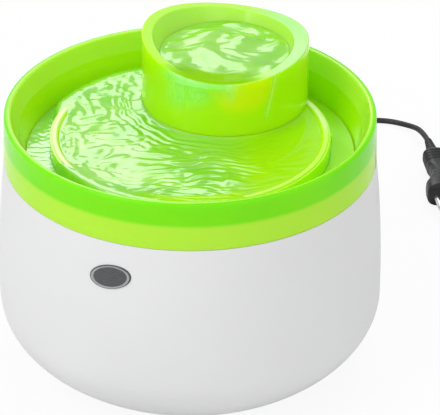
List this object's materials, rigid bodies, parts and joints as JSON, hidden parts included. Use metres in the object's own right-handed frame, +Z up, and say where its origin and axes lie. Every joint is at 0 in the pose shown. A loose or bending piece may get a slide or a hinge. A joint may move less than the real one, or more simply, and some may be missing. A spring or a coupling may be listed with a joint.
{
  "type": "pet water fountain",
  "caption": "Round pet drinking fountain: white reservoir, green bowl with filter gutter, pedestal cup with spill lip, submersible pump, mains cord and plug.",
  "frame": {"origin": "centre of the plane that the rubber feet stand on, under the reservoir's axis", "axes": "+Z up along the reservoir's axis, -Y towards the front with the badge at its left, +X to the viewer's right"},
  "size_m": [0.3321, 0.4339, 0.2114],
  "materials": {
    "white_shell": "smooth white injection-moulded plastic",
    "foot_rubber": "soft black rubber",
    "badge_grey": "dark grey plastic plate, bare",
    "green_bowl": "lime green translucent plastic",
    "green_cup": "lime green translucent plastic",
    "seal_rubber": "soft black rubber ring",
    "filter_white": "white moulded plastic",
    "foam_white": "open-cell filter foam",
    "carbon_pad": "activated carbon pad",
    "pump_black": "black moulded plastic",
    "core_steel": "stack of steel laminations",
    "coil_copper": "enamelled copper wire windings",
    "resin": "cast potting resin",
    "magnet": "sintered ferrite",
    "impeller_white": "white moulded plastic",
    "ceramic": "white ceramic rod",
    "bush_rubber": "rubber shaft bush",
    "slider_grey": "grey moulded plastic",
    "hose_clear": "soft clear hose",
    "cord_black": "black cord jacket",
    "gland_black": "black rubber gland",
    "tie_black": "black strap",
    "plug_black": "black moulded plug body",
    "pin_metal": "nickel-plated pin"
  },
  "bodies": {
    "reservoir": {"tank_shell": "white_shell", "rubber_feet": "foot_rubber", "oval_badge": "badge_grey", "pump_housing": "pump_black", "stator_core": "core_steel", "stator_coils": "coil_copper", "potting_resin": "resin", "impeller_shaft": "ceramic", "rear_bush": "bush_rubber", "front_bush": "bush_rubber", "volute_cover": "pump_black", "suction_feet": "foot_rubber", "pump_boot": "gland_black", "riser_hose": "hose_clear", "pump_lead": "cord_black", "cable_gland": "gland_black", "cord_drop": "cord_black", "cord_coil": "cord_black", "coil_tie": "tie_black", "cord_tail": "cord_black", "plug_relief": "gland_black", "plug_body": "plug_black", "plug_pins": "pin_metal"},
    "bowl": {"drinking_bowl": "green_bowl", "drinking_basin": "green_bowl", "cup_pedestal": "green_bowl", "filter_well": "green_bowl"},
    "cup": {"spill_cup": "green_cup", "cup_seal": "seal_rubber"},
    "filter": {"filter_tray": "filter_white", "filter_foam": "foam_white", "filter_carbon": "carbon_pad", "filter_lid": "filter_white"},
    "rotor": {"rotor_magnet": "magnet", "impeller": "impeller_white"},
    "cover": {"intake_cover": "pump_black"},
    "slider": {"flow_slider": "slider_grey"}
  },
  "joints": [
    {"name": "bowl_lift", "type": "slide", "parent": "reservoir", "child": "bowl", "axis": [0, 0, 1], "range_m": [0, 0.09]},
    {"name": "cup_lift", "type": "slide", "parent": "bowl", "child": "cup", "axis": [0, 0, 1], "range_m": [0, 0.05]},
    {"name": "filter_lift", "type": "slide", "parent": "bowl", "child": "filter", "axis": [0, 0, 1], "range_m": [0, 0.06]},
    {"name": "impeller_spin", "type": "hinge", "parent": "reservoir", "child": "rotor", "pos_m": [0.023, 0.04, 0.029], "axis": [0, 1, 0], "continuous": true},
    {"name": "cover_pull", "type": "slide", "parent": "reservoir", "child": "cover", "axis": [0, 1, 0], "range_m": [0, 0.014]},
    {"name": "flow_slide", "type": "slide", "parent": "cover", "child": "slider", "axis": [1, 0, 0], "range_m": [0, 0.004]}
  ]
}
